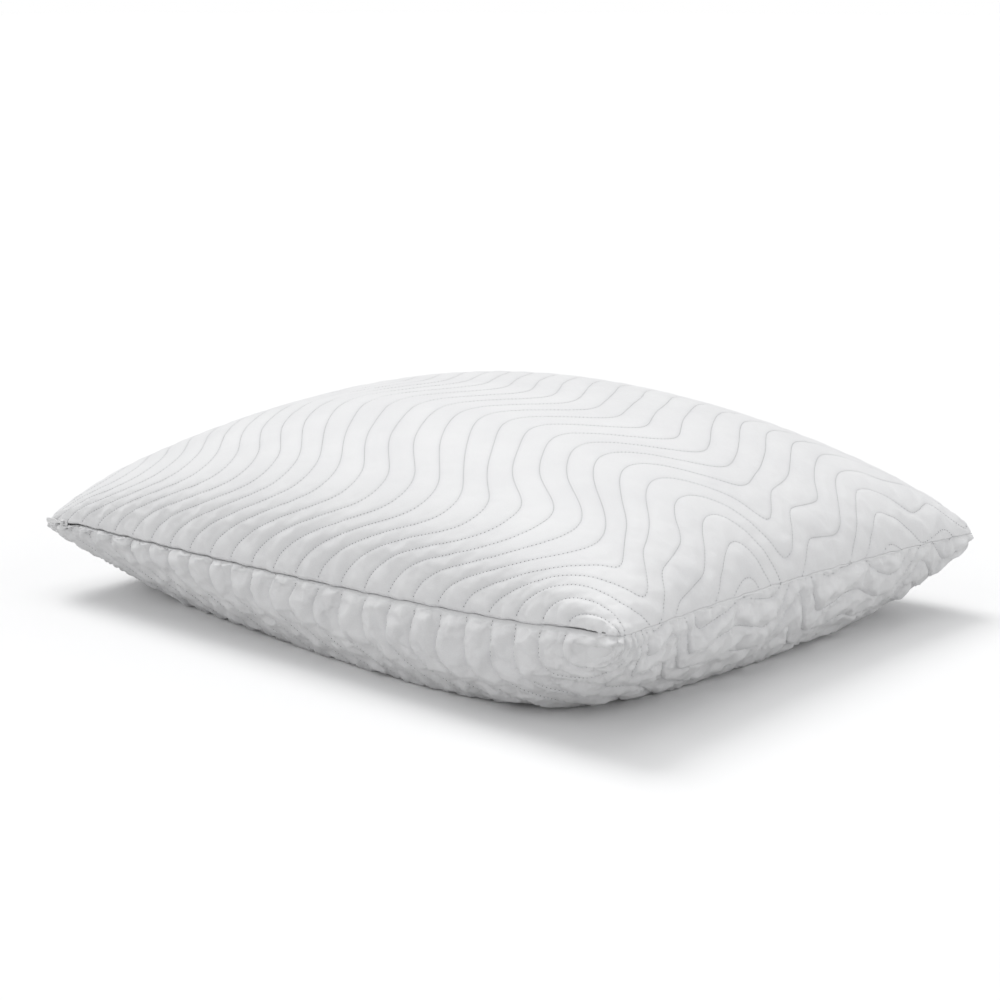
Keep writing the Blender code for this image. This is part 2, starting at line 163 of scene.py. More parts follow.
def quilt_field(s, t, side):
    """Rises by 1 from each stitch line to the next: waves, turning to rings round the near corner."""
    away = smooth(t, -300, -255)
    if side > 0:
        delay = smooth(s, 240, 140) * smooth(t, -275, -215) * (1 - 0.6 * smooth(t, -190, -100))
        swing_t = t + 25 * delay
        swing = eased(TOP_SWING, swing_t)
        fan = smooth(s, 250, 320) * smooth(t, -255, -190)
        zigzag = 13 * peaked(2 * np.pi * (t + 92) / 92 + 0.5 * np.sin(t / 31)) * fan
        wander = 2.5 * np.sin(s / 57 + t / 41) + 1.5 * np.sin(s / 23 - t / 35 + 1.7)
        far = np.where(s > 285, 285 + (s - 285) * 0.85, s)
        field = (far - swing + zigzag + wander * away + 9) / LINE_SPACING
        ring = np.maximum(np.hypot(s - CORNER_PLACE, (t + 303) * 1.4), RING_CORE)
        rings = (CORNER_PLACE + 121 - ring) / LINE_SPACING
        near = smooth(ring, 125, 75)
    else:
        swing = eased(BOTTOM_SWING, t)
        fan = smooth(s, 275, 335) * smooth(t, -215, -150)
        zigzag = 17 * peaked(2 * np.pi * (t + 60) / 84 + 0.6 * np.sin(t / 27)) * fan
        wander = 3.0 * np.sin(s / 51 + t / 37 + 2.0) + 2.0 * np.sin(s / 21 - t / 33)
        field = (s - swing + zigzag + wander * away - 9) / LINE_SPACING
        ring = np.maximum(np.hypot(s - CORNER_PLACE, (t + 277) * 1.5), RING_CORE)
        rings = (CORNER_PLACE + 4 - ring) / LINE_SPACING
        near = smooth(ring, 135, 80)
    return field + (rings - field) * near


def field_slope(s, t, side):
    """How fast the pattern rises per mm along s and along t."""
    step = 0.5
    across = (quilt_field(s + step, t, side) - quilt_field(s - step, t, side)) / (2 * step)
    along = (quilt_field(s, t + step, side) - quilt_field(s, t - step, side)) / (2 * step)
    return across, along


# ---------------------------------------------------------------- small tools

def mesh_object(name, points, faces):
    mesh = bpy.data.meshes.new(name)
    mesh.from_pydata([tuple(p) for p in np.asarray(points).tolist()], [], faces)
    mesh.validate()
    mesh.shade_smooth()
    made = bpy.data.objects.new(name, mesh)
    bpy.context.scene.collection.objects.link(made)
    return made


def face_outwards(made):
    whole = bmesh.new()
    whole.from_mesh(made.data)
    bmesh.ops.recalc_face_normals(whole, faces=whole.faces)
    whole.to_mesh(made.data)
    whole.free()


def paint(made, name, kind, values):
    """Stores a value for each point, for a material to read. kind is FLOAT or FLOAT_VECTOR."""
    attribute = made.data.attributes.new(name, kind, "POINT")
    attribute.data.foreach_set("vector" if kind == "FLOAT_VECTOR" else "value",
                               values.astype(np.float32).ravel())


def unit(vectors):
    return vectors / np.maximum(np.linalg.norm(vectors, axis=-1, keepdims=True), 1e-12)


def grid_quads(columns, rows, start=0, flip=False):
    i, j = np.meshgrid(np.arange(columns - 1), np.arange(rows - 1), indexing="ij")
    a = (start + i * rows + j).ravel()
    quads = np.stack([a, a + rows, a + rows + 1, a + 1], 1)
    return quads[:, ::-1] if flip else quads


def grid_normals(points):
    """Unit normals of a grid of points, pointing along du x dv."""
    du, dv = np.gradient(points, axis=0), np.gradient(points, axis=1)
    return unit(np.cross(du, dv))


def rim_loop(columns, rows):
    """The grid's outermost points, in order round it."""
    last = columns - 1
    loop = [i * rows for i in range(columns)]
    loop += [last * rows + j for j in range(1, rows)]
    loop += [i * rows + rows - 1 for i in range(last - 1, -1, -1)]
    loop += [j for j in range(rows - 2, 0, -1)]
    return loop


def blur(field, times):
    """Averages a grid of values with its neighbours, again and again."""
    for _ in range(times):
        wide = np.pad(field, [(1, 1), (1, 1)] + [(0, 0)] * (field.ndim - 2), mode="edge")
        field = (wide[:-2, 1:-1] + wide[2:, 1:-1] + wide[1:-1, :-2] + wide[1:-1, 2:] + 2 * field) / 6
    return field


# ---------------------------------------------------------------- the quilted panels

CELL = 2.4                 # mm between grid points of a panel
SEAM_ROWS = (0, 0.5, 1.1, 1.9, 3.0, 4.6, 6.6)   # mm from a seam, where the cloth rolls in
PUFF = {1: 0.7, -1: 2.9}   # mm that the cloth stands up between lines before it is blown up
SUNK = {1: 0.9, -1: 2.0}   # mm that the stitch lines lie inside the CAD's surface
SLACK = {1: 0.035, -1: 0.06}   # spare cloth, as a share of its length
SEAM_GAP = 0.00008
ZIP_SLIT = 0.0006
ZIP_MOUTH = 0.0007         # how much further the lips part where the slider stands, at both ends
ZIP_END = 0.9397           # where the zip ends, as a share of the half length
SEAM_ROLL = 0.8            # mm that a sewn edge rolls in at the seam
CLOSED_ROLL = 0.4          # the same between the zip's end and the corner
ZIP_ROLL = 2.4             # the same at the zip
CORNER_DENT = 13.0         # mm that the cloth is drawn in below the +X -Y corner
PINCH_SPACING = 12.5       # mm between the gathers beside a seam
GATHER = {1: 0.7, -1: 1.6}     # mm that those gathers stand up
CRUMPLE = {1: 0.07, -1: 0.22}  # mm of small unevenness all over
RUMPLE = {1: 0.28, -1: 0.50}   # mm more of it beside the seams and on steep sides
WOBBLE = 0.35              # mm that a sewn edge strays up and down
CREASE_WIDTH = 1.2         # mm from a stitch line over which the cloth's colour is darkened as painted shade
SNAP = 0.52                # a grid point moves onto a stitch line within this share of a cell
TOO_FINE = 0.14            # lines per mm: where the pattern is finer than this, no point moves
CLOTH_CAP = 0.006          # the most that a point may move as the cloth is blown up
CLOTH_FRAMES = 14
CLOTH = {"quality": 4, "mass": 0.05, "air_damping": 4, "tension_stiffness": 12, "compression_stiffness": 12,
         "shear_stiffness": 4, "bending_stiffness": 0.02, "tension_damping": 8, "compression_damping": 8,
         "shear_damping": 8, "use_pressure": True, "uniform_pressure_force": 25.0,
         "vertex_group_mass": "held", "pin_stiffness": 1}


def crumple(s, t, spacing, seed):
    """A smooth random field of about -1 to 1, with waves about spacing mm apart."""
    random = np.random.default_rng(seed)
    total = 0
    for _ in range(14):
        angle, turn = random.uniform(0, math.pi), 2 * math.pi / (spacing * random.uniform(0.8, 1.7))
        along = s * math.cos(angle) + t * math.sin(angle) * 0.6
        total = total + np.sin(turn * along + random.uniform(0, 2 * math.pi))
    return total / 3.7


def pinches(place, spacing):
    """Rounded folds with tight valleys between them, at uneven places."""
    uneven = place + 3.5 * np.sin(place / 23) + 2.0 * np.sin(place / 9.3 + 1)
    depth = 0.6 + 0.4 * np.sin(place / 31 + 0.7)
    return (np.abs(np.sin(np.pi * uneven / spacing)) ** 0.6 - 0.75) * depth


def cloth_lengths(side):
    """Tables that turn mm over the flat cloth into u and v, read where the camera sees the panel."""
    wu, su = arc_table(side, True, -0.5)
    wv, tv = arc_table(side, False, 0.3)
    return wu, su, wv, tv


def blow_up(name, points, held, slack):
    """Cloth with held points, a share of spare cloth and inner pressure. Returns the settled points."""
    columns, rows = points.shape[:2]
    flat = points.reshape(-1, 3)
    cloth_object = mesh_object(name, flat, grid_quads(columns, rows).tolist())
    pins = cloth_object.vertex_groups.new(name="held")
    pins.add(np.flatnonzero(held.ravel()).tolist(), 1.0, "REPLACE")
    modifier = cloth_object.modifiers.new("Cloth", "CLOTH")
    settings = modifier.settings
    for setting, value in CLOTH.items():
        setattr(settings, setting, value)
    settings.shrink_min = -slack
    settings.effector_weights.gravity = 0
    modifier.collision_settings.use_collision = False
    modifier.collision_settings.use_self_collision = False
    modifier.point_cache.frame_start = 1
    modifier.point_cache.frame_end = CLOTH_FRAMES
    scene = bpy.context.scene
    for number in range(1, CLOTH_FRAMES + 1):
        scene.frame_set(number)
    depsgraph = bpy.context.evaluated_depsgraph_get()
    settled = cloth_object.evaluated_get(depsgraph).data
    result = np.zeros(len(settled.vertices) * 3)
    settled.vertices.foreach_get("co", result)
    scene.frame_set(1)
    mesh = cloth_object.data
    bpy.data.objects.remove(cloth_object)
    bpy.data.meshes.remove(mesh)
    return result.reshape(columns, rows, 3)


def grid_line(low, high):
    """Places across a panel in mm: close together at both seams, then even. 3n + 1 of them."""
    close = np.array(SEAM_ROWS)
    count = int(round((high - low - 2 * close[-1]) / CELL / 3)) * 3 + 1
    count += (1 - (count + 2 * (len(close) - 1))) % 3
    middle = np.linspace(low + close[-1], high - close[-1], count)
    return np.concatenate([low + close[:-1], middle, high - close[:-1][::-1]])


def lip_lift(u, front):
    """Half the height of the gap between the two panels' edges, wider along the zip."""
    along = smooth(ZIP_END - np.abs(u), -0.004, 0.004) * front
    slit = ZIP_SLIT + ZIP_MOUTH * smooth(np.abs(u), 0.80, 0.88)
    return SEAM_GAP / 2 + (slit - SEAM_GAP) / 2 * along


def panel(side):
    """Shapes one quilted panel. Returns its grid of points and what is known of each of them."""
    wu, su, wv, tv = cloth_lengths(side)
    s, t = np.meshgrid(grid_line(su[0], su[-1]), grid_line(tv[0], tv[-1]), indexing="ij")
    columns, rows = s.shape
    rim_rows = len(SEAM_ROWS) - 1
    inner = np.zeros((columns, rows), bool)
    inner[rim_rows:-rim_rows, rim_rows:-rim_rows] = True

    # grid points close to a stitch line move onto it
    on_line = np.zeros((columns, rows), bool)
    for _ in range(2):
        value = quilt_field(s, t, side)
        across, along = field_slope(s, t, side)
        steep = np.maximum(across ** 2 + along ** 2, 1e-9)
        miss = np.round(value) - value
        close = (np.abs(miss) / np.sqrt(steep) < SNAP * CELL) & inner & (steep < TOO_FINE ** 2)
        s = np.where(close, s + miss * across / steep, s)
        t = np.where(close, t + miss * along / steep, t)
        on_line |= close
    value = quilt_field(s, t, side)
    across, along = field_slope(s, t, side)
    gap = 1 / np.sqrt(np.maximum(across ** 2 + along ** 2, 1e-6))
    phase = np.abs(value - np.round(value))

    u, v = np.interp(s, su, wu), np.interp(t, tv, wv)
    base = surface(u, v, side)
    normal = grid_normals(blur(base, 3)) * side
    to_short, to_long = np.minimum(s - su[0], su[-1] - s), np.minimum(t - tv[0], tv[-1] - t)
    edge = np.minimum(to_short, to_long)
    beside_short, beside_long = to_short <= edge + 1e-6, to_long <= edge + 1e-6

    # the cloth stands up between the lines and lies low along them
    steepness = 1 - np.clip(np.abs(normal[..., 2]), 0, 1)
    stand = PUFF[side] * (0.8 + 0.9 * smooth(steepness, 0.3, 0.9)) * np.clip(gap / LINE_SPACING, 0.3, 1.1)
    if side > 0:
        stand = stand * (0.6 + 0.4 * smooth(s, -280, -40)) * (1 + 1.2 * smooth(t, -225, -275))
    sunk = SUNK[side] * smooth(edge, 0, 14)
    if side < 0:
        sunk = sunk + CORNER_DENT * np.exp(-((s - 308) / 17) ** 2 - ((t + 268) / 10) ** 2)
    height = stand * np.sin(np.pi * phase) ** 0.65 * smooth(edge, 0, 10) - sunk
    pulled = pinches(np.where(beside_long, s, t), PINCH_SPACING) * np.exp(-edge / 11) * smooth(edge, 0.5, 4)
    height = height + GATHER[side] * pulled * smooth(np.hypot(s, t), 440, 400)
    rough = np.maximum(smooth(edge, 70, 15), smooth(steepness, 0.35, 0.8) if side < 0 else 0)
    height = height + (CRUMPLE[side] + RUMPLE[side] * rough) * crumple(s, t, 17, 5) * smooth(edge, 0, 6)
    start = base + normal * (height / 1000)[..., None]
    strays = np.sin(u * 61 + v * 47) + 0.6 * np.sin(u * 117 - v * 83 + 1)
    start[..., 2] += WOBBLE / 1000 * strays * np.exp(-edge / 8) * smooth(0.92 - np.abs(u * v), 0, 0.08)

    # the edges roll in towards the seam, and part a little along the zip
    front = (v - v.min() < 1e-9) | (t - tv[0] <= edge + 1e-6)
    zipped = smooth(ZIP_END - np.abs(u), -0.012, 0.0)
    roll = np.where(front, CLOSED_ROLL + (ZIP_ROLL - CLOSED_ROLL) * zipped, SEAM_ROLL)
    bend = np.clip(1 - edge / roll, 0, 1)
    draw = roll * (1 - np.sqrt(1 - bend ** 2)) / 1000
    outward = np.stack([np.where(beside_short, np.sign(u), 0), np.where(beside_long, np.sign(v), 0),
                        np.zeros_like(u)], -1)
    start = start - outward * draw[..., None]
    start[..., 2] += side * lip_lift(u, front) * smooth(edge, 6, 0)
    if side < 0:
        start[..., 2] = np.maximum(start[..., 2], FLOOR_CLEARANCE)

    # the simulation: the top is quilted flatter than the sides, so it keeps less of its puff
    held = on_line | (edge < 1.5)
    move = blow_up(f"cloth_{side}", start, held, SLACK[side]) - start
    if side > 0:
        move *= (0.26 + 0.5 * np.maximum(0.5 * smooth(s, 240, 330), smooth(t, -215, -275)))[..., None]
    size = np.linalg.norm(move, axis=-1, keepdims=True)
    move = move * np.minimum(1, CLOTH_CAP / np.maximum(size, 1e-9))
    start = start + move
    if side < 0:
        start[..., 2] = np.maximum(start[..., 2], FLOOR_CLEARANCE)
    return {"side": side, "points": start, "s": s, "t": t, "value": value, "phase": phase, "gap": gap,
            "line": np.where(on_line, np.round(value), np.nan), "edge": edge, "front": front}


def crisp_faces(line, flip):
    """Faces of a grid, with cells cut along the stitch lines. line holds the line each point is on, or
    nan. Returns the faces and the edges that run along a stitch line."""
    columns, rows = line.shape
    index = np.arange(columns * rows).reshape(columns, rows)
    a, b = index[:-1, :-1].ravel(), index[1:, :-1].ravel()
    c, d = index[1:, 1:].ravel(), index[:-1, 1:].ravel()
    on = line.ravel()
    cut_ac, cut_bd = on[a] == on[c], on[b] == on[d]
    cut_ac &= ~(on[a] == on[b]) & ~(on[a] == on[d])
    cut_bd &= ~(on[b] == on[a]) & ~(on[b] == on[c]) & ~cut_ac
    whole = ~(cut_ac | cut_bd)
    faces = np.stack([a, b, c, d], 1)[whole].tolist()
    faces += np.stack([a, b, c], 1)[cut_ac].tolist() + np.stack([a, c, d], 1)[cut_ac].tolist()
    faces += np.stack([a, b, d], 1)[cut_bd].tolist() + np.stack([b, c, d], 1)[cut_bd].tolist()
    if flip:
        faces = [face[::-1] for face in faces]
    pairs = [np.stack([a, c], 1)[cut_ac], np.stack([b, d], 1)[cut_bd]]
    for first, second in ((index[:-1], index[1:]), (index[:, :-1], index[:, 1:])):
        first, second = first.ravel(), second.ravel()
        pairs.append(np.stack([first, second], 1)[on[first] == on[second]])
    return faces, np.sort(np.concatenate(pairs), axis=1)


def panel_object(name, data):
    """The panel as one closed piece: the quilted skin outside, the backing inside on every third point."""
    side = data["side"]
    columns, rows = data["s"].shape
    wu, su, wv, tv = cloth_lengths(side)
    outer = data["points"].reshape(-1, 3)
    few, fewer = (columns - 1) // 3 + 1, (rows - 1) // 3 + 1
    s, t = data["s"][::3, ::3], data["t"][::3, ::3]
    u, v = np.interp(s, su, wu), np.interp(t, tv, wv)
    backing = surface(u, v, side, COVER_THICKNESS, COVER_THICKNESS)
    backing[..., 2] += side * lip_lift(u, data["front"][::3, ::3]) * smooth(data["edge"][::3, ::3], 6, 0)
    backing = backing.reshape(-1, 3)
    faces, creases = crisp_faces(data["line"], side < 0)
    faces += grid_quads(few, fewer, len(outer), side > 0).tolist()
    fine, coarse = rim_loop(columns, rows), rim_loop(few, fewer)
    for k in range(len(coarse)):
        a, b = coarse[k] + len(outer), coarse[(k + 1) % len(coarse)] + len(outer)
        f = [fine[(3 * k + n) % len(fine)] for n in range(4)]
        strip = [(f[1], f[0], a), (f[2], f[1], a), (b, f[2], a), (f[3], f[2], b)]
        faces += strip if side > 0 else [tri[::-1] for tri in strip]
    made = mesh_object(name, np.concatenate([outer, backing]), faces)
    total = len(made.data.vertices)
    ends = np.zeros(len(made.data.edges) * 2, int)
    made.data.edges.foreach_get("vertices", ends)
    ends = np.sort(ends.reshape(-1, 2), axis=1)
    creased = np.isin(ends[:, 0] * total + ends[:, 1], creases[:, 0] * total + creases[:, 1])
    made.data.attributes.new("sharp_edge", "BOOLEAN", "EDGE").data.foreach_set("value", creased)
    inner_mm = np.stack([s, t, np.zeros_like(s)], -1).reshape(-1, 3)
    outer_mm = np.stack([data["s"], data["t"], np.zeros_like(data["s"])], -1).reshape(-1, 3)
    paint(made, "cloth", "FLOAT_VECTOR", np.concatenate([outer_mm, inner_mm]))
    # nearness to a stitch line, which the face fabric's material turns into painted shade in its colour
    distance = (data["phase"] * data["gap"]).ravel()
    paint(made, "crease", "FLOAT", np.concatenate([np.exp(-distance / CREASE_WIDTH), np.zeros(len(backing))]))
    return made


# ---------------------------------------------------------------- stitches

STITCH_PITCH = 0.0032
STITCH_LENGTH = 0.0022
STITCH_RADIUS = 0.00026
STITCH_LIFT = 0.00005      # how far a stitch stands off the cloth
STITCH_CLEARANCE = 0.0016  # no stitch is made closer to the floor than this
HOLE_RADIUS = 0.0005       # the needle's hole, pulled open by the thread, drawn as a disc of painted shade
HOLE_LIFT = 0.00012
HOLE_SIDES = 6
HOLE_SHADE = 0.22          # how bright the painted shade in a needle's hole is, beside the thread

# Stations along one stitch, in its own lengths, with how wide and how high it is there in its radii
STITCH_PROFILE = ((-0.5, 0.0, -1.2), (-0.30, 0.85, -0.1), (0.0, 1.0, 0.35), (0.30, 0.85, -0.1),
                  (0.5, 0.0, -1.2))


def level_lines(value, points):
    """Lines of points where the pattern value is a whole number, found cell by cell."""
    nudged = np.where(np.abs(value - np.round(value)) < 1e-3, np.round(value) + 1.1e-3, value)
    lines = []
    for level in range(int(np.floor(nudged.min())) + 1, int(np.floor(nudged.max())) + 1):
        above = nudged > level
        cells = above[:-1, :-1].astype(int) + above[1:, :-1] + above[1:, 1:] + above[:-1, 1:]
        links = {}
        for i, j in np.argwhere((cells > 0) & (cells < 4)):
            corners = [(i, j), (i + 1, j), (i + 1, j + 1), (i, j + 1)]
            cuts = []
            for k in range(4):
                p, q = corners[k], corners[(k + 1) % 4]
                if above[p] != above[q]:
                    cuts.append((p, q) if p < q else (q, p))
            for a, b in zip(cuts[::2], cuts[1::2]):
                links.setdefault(a, []).append(b)
                links.setdefault(b, []).append(a)
        seen = set()
        ends = [c for c in links if len(links[c]) == 1]
        for first in sorted(ends) + sorted(links):
            if first in seen:
                continue
            chain, current = [], first
            while current is not None:
                seen.add(current)
                chain.append(current)
                current = next((c for c in links[current] if c not in seen), None)
            places = []
            for p, q in chain:
                share = (level - nudged[p]) / (nudged[q] - nudged[p])
                places.append(points[p] + (points[q] - points[p]) * share)
            if len(places) > 6:
                lines.append(np.array(places))
    return lines


def resample(line, pitch):
    """Evenly spaced points along a line, smoothed a little. Only the first three columns are places."""
    keep = np.concatenate([[True], np.linalg.norm(np.diff(line[:, :3], axis=0), axis=1) > 1e-6])
    line = line[keep]
    for _ in range(3):
        line[1:-1] = (line[:-2] + 2 * line[1:-1] + line[2:]) / 4
    run = np.concatenate([[0], np.cumsum(np.linalg.norm(np.diff(line[:, :3], axis=0), axis=1))])
    count = int(run[-1] / pitch)
    if count < 2:
        return np.zeros((0, line.shape[1]))
    where = (np.arange(count) + 0.5) * pitch
    return np.stack([np.interp(where, run, line[:, k]) for k in range(line.shape[1])], 1)


def stitch_mesh(name, centres, tangents, normals, length, radius, lift):
    """Short rounded threads and the needle holes after them, all in one piece. Each hole is a dark disc of
    painted shade lying just off the cloth.
    """
    sides = unit(np.cross(normals, tangents))
    rings, faces = [], []
    for along, wide, high in STITCH_PROFILE:
        middle = centres + tangents * (along * length) + normals * (high * radius + lift)
        if wide == 0:
            rings.append(middle[:, None])
            continue
        ring = []
        for k in range(4):
            angle = math.pi / 4 + k * math.pi / 2
            ring.append(middle + (sides * math.cos(angle) + normals * math.sin(angle)) * wide * radius)
        rings.append(np.stack(ring, 1))
    points = np.concatenate(rings, 1)
    each = points.shape[1]
    single = [(0, 1 + k, 1 + (k + 1) % 4) for k in range(4)]
    for ring in range(2):
        a = 1 + 4 * ring
        single += [(a + k, a + 4 + k, a + 4 + (k + 1) % 4, a + (k + 1) % 4) for k in range(4)]
    single += [(13, 9 + (k + 1) % 4, 9 + k) for k in range(4)]
    # each needle hole is a flat disc just above the cloth, darkened in the material as painted shade for the
    # shadow inside the hole
    hole = []
    for k in range(HOLE_SIDES):
        angle = k * 2 * math.pi / HOLE_SIDES
        hole.append(centres + tangents * (STITCH_PITCH / 2 + math.cos(angle) * HOLE_RADIUS)
                    + sides * (math.sin(angle) * HOLE_RADIUS * 0.8) + normals * HOLE_LIFT)
    points = np.concatenate([points, np.stack(hole, 1)], 1)
    single.append(tuple(range(each, each + HOLE_SIDES)))
    each += HOLE_SIDES
    for k in range(len(centres)):
        faces += [tuple(each * k + n for n in face) for face in single]
    made = mesh_object(name, points.reshape(-1, 3), faces)
    in_hole = np.zeros((len(centres), each))
    in_hole[:, -HOLE_SIDES:] = 1
    paint(made, "hole", "FLOAT", in_hole)
    return made


def quilting_thread(name, data):
    """The stitches of one panel, a needle's pitch apart along every line of its pattern."""
    points, side = data["points"], data["side"]
    centres, tangents, ups = [], [], []
    for line in level_lines(data["value"], np.concatenate([points, grid_normals(points) * side], -1)):
        fine = resample(line, STITCH_PITCH)
        if len(fine) < 3:
            continue
        centres.append(fine[:, :3])
        tangents.append(unit(np.gradient(fine[:, :3], axis=0)))
        ups.append(fine[:, 3:])
    centres, tangents, ups = np.concatenate(centres), np.concatenate(tangents), np.concatenate(ups)
    ups = unit(ups - tangents * (ups * tangents).sum(1, keepdims=True))
    if side < 0:
        clear = centres[:, 2] > STITCH_CLEARANCE
        centres, tangents, ups = centres[clear], tangents[clear], ups[clear]
    return stitch_mesh(name, centres, tangents, ups, STITCH_LENGTH, STITCH_RADIUS, STITCH_LIFT)


# ---------------------------------------------------------------- the hidden and small pieces

HALVES_GAP = 0.00015       # between the halves of the inner pillow at its seam
CASE_INSET = 0.018         # the inner case's seam lies this far inside the cover's outline
CASE_THICKNESS = 0.0008
CASE_DROP = 0.0054         # how far the inner case lies under the cover's surface
CASE_WRINKLE = 0.0016
CASE_FIN_INSET = CASE_INSET + CASE_THICKNESS + 0.0015
FILLING_INSET = CASE_FIN_INSET + 0.0063
FILLING_DROP = CASE_DROP + 0.0011
FILLING_LUMPS = 0.004
ALLOWANCE_WIDTH = 0.008
CASE_ALLOWANCE_WIDTH = 0.006
OVERLOCK_RADIUS = 0.0011
OVERLOCK_STATIONS = 260    # along each side
TAPE_THICKNESS = 0.0007
TAPE_CORDS = 11
LABEL_THICKNESS = 0.0004
TACK_PLACE = 0.958         # the bar tacks, as a share of the half length
TACK_PITCH = 0.00045
TACK_LENGTH = 0.0026
TACK_RADIUS = 0.00022


def closed_layers(name, outer, inner):
    """A closed piece between two grids of points, joined round the rim."""
    columns, rows = outer.shape[:2]
    count = columns * rows
    faces = grid_quads(columns, rows).tolist() + grid_quads(columns, rows, count, True).tolist()
    loop = rim_loop(columns, rows)
    faces += [(b, a, a + count, b + count) for a, b in zip(loop, loop[1:] + loop[:1])]
    made = mesh_object(name, np.concatenate([outer.reshape(-1, 3), inner.reshape(-1, 3)]), faces)
    face_outwards(made)
    return made


def dome(side, inset, drop, wrinkle, seed):
    """One inner surface of the pillow, with soft wrinkles drawn inwards."""
    u, v = np.meshgrid(np.sin(np.linspace(-math.pi / 2, math.pi / 2, 101)),
                       np.sin(np.linspace(-math.pi / 2, math.pi / 2, 81)), indexing="ij")
    points = surface(u, v, side, inset, drop)
    calm = np.clip((1 - u ** 8) * (1 - v ** 8), 0, 1)
    folds = 0.5 + 0.5 * np.clip(crumple(u * 320, v * 240, 38, seed), -1, 1)
    points[..., 2] -= side * (wrinkle * folds * calm + HALVES_GAP)
    points[..., 2] = np.maximum(points[..., 2], drop + FLOOR_CLEARANCE)
    return points


def overlock(name, like, inset, width, closed):
    """Overlock stitching round a seam allowance: one thick rib, swollen where its thread loops."""
    rail = np.linspace(-1, 1, OVERLOCK_STATIONS)
    edge = np.full(OVERLOCK_STATIONS, 1.0)
    sides = [(edge, rail), (rail[::-1], edge), (-edge, rail[::-1])]
    if closed:
        sides.append((rail, -edge))
    u = np.concatenate([side_u[:-1] for side_u, _ in sides])
    v = np.concatenate([side_v[:-1] for _, side_v in sides])
    waist = LONG_SIDE_WAIST * (1 + v) / 2
    swell = 1 + 0.22 * np.sin(np.arange(len(u)) * math.pi * 0.8)
    loops = []
    for angle in np.linspace(0, 2 * math.pi, 9)[:-1]:
        depth = inset + width / 2 * (1 + math.cos(angle) * 0.92)
        loops.append(np.stack([u * (LENGTH / 2 - depth - SHORT_SIDE_WAIST * (1 - v * v)),
                               v * (WIDTH / 2 - depth - waist * (1 - u * u)),
                               seam_height(u, v) + math.sin(angle) * OVERLOCK_RADIUS * swell], 1))
    rings = np.stack(loops, 1)
    total, around = rings.shape[:2]
    faces = []
    for i in range(total if closed else total - 1):
        for k in range(around):
            a, b = i * around + k, i * around + (k + 1) % around
            c, d = (i + 1) % total * around + (k + 1) % around, (i + 1) % total * around + k
            faces.append((a, d, c, b))
    if not closed:
        faces.append(tuple(range(around)))
        faces.append(tuple((total - 1) * around + k for k in range(around - 1, -1, -1)))
    made = mesh_object(name, rings.reshape(-1, 3), faces)
    face_outwards(made)
    dress(made, THREAD, "pillow")
    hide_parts(like)


def ribbon(name, path, across, thickness):
    """A thin closed ribbon. path is its middle line, across its half width as a vector."""
    share = np.linspace(-1, 1, 14)
    outer = path[:, None] + across[None, None] * share[None, :, None]
    normal = unit(np.cross(np.gradient(path, axis=0), across))
    return closed_layers(name, outer, outer + normal[:, None] * thickness)


def zip_tape(name, like):
    """A woven tape beside the coil, with straight cords along its length."""
    low, high = (np.array(corner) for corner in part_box(like))
    slope = CORNER_LIFT / LENGTH
    height = (high[2] - low[2]) - slope * (high[0] - low[0])
    x, share = np.meshgrid(np.linspace(low[0], high[0], 240), np.linspace(0, 1, 2 * TAPE_CORDS + 1),
                           indexing="ij")
    deep = (high[1] - low[1]) - TAPE_THICKNESS
    y = low[1] + deep * share + 0.00006 * np.sin(share * TAPE_CORDS * math.pi) + 0.00004 * np.sin(x * 900)
    z = low[2] + slope * (x - low[0]) + height * share
    face = np.stack([x, y, z], -1)
    made = closed_layers(name, face, face + np.array([0, TAPE_THICKNESS * 0.9, 0]))
    dress(made, TAPE, "pillow")
    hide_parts(like)


def care_label():
    """A blank satin ribbon, sewn into the back seam, that curls over and hangs."""
    low, high = (np.array(corner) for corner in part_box("care_label"))
    reach = high[1] - low[1]
    turn = np.linspace(0, math.pi / 2, 12)
    over = np.stack([np.sin(turn) * reach * 0.92, -(1 - np.cos(turn)) * reach], 1)
    drop = high[2] - low[2] - reach
    fall = np.linspace(0, 1, 30)[1:]
    hang = np.stack([over[-1, 0] - 0.0012 * np.sin(fall * 5.2), over[-1, 1] - fall * drop], 1)
    line = np.concatenate([over, hang])
    middle = (low[0] + high[0]) / 2
    path = np.stack([np.full(len(line), middle), low[1] + line[:, 0],
                     high[2] - LABEL_THICKNESS + line[:, 1]], 1)
    half = (high[0] - low[0]) / 2 * 0.985
    made = ribbon("care_label_ribbon", path, np.array([half, 0, 0]), LABEL_THICKNESS)
    spots = np.zeros(len(made.data.vertices) * 3)
    made.data.vertices.foreach_get("co", spots)
    spots = spots.reshape(-1, 3) * 1000
    paint(made, "cloth", "FLOAT_VECTOR", np.stack([spots[:, 0], spots[:, 2] - spots[:, 1], spots[:, 1]], 1))
    dress(made, SATIN, "pillow")
    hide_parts("care_label")


def bar_tacks():
    """Dense bars of thread across the zip's two ends, where the lips are sewn together."""
    centres = []
    for u in (-TACK_PLACE, TACK_PLACE):
        for step in range(-3, 4):
            x = u * LENGTH / 2 + step * TACK_PITCH
            spot = surface(np.array([x / (LENGTH / 2)]), np.array([-1.0]), 1)[0]
            centres.append(spot + np.array([0, -0.0001, 0]))
    centres = np.array(centres)
    tangents = np.tile([0.0, 0.0, 1.0], (len(centres), 1))
    normals = np.tile([0.0, -1.0, 0.0], (len(centres), 1))
    made = stitch_mesh("zip_bar_tacks", centres, tangents, normals, TACK_LENGTH, TACK_RADIUS, 0.0)
    dress(made, STITCHES, "pillow")


# ---------------------------------------------------------------- materials

def new_material(name):
    made = bpy.data.materials.new(name)
    made.use_nodes = True
    nodes = made.node_tree.nodes
    return made, nodes, made.node_tree.links, nodes["Principled BSDF"]


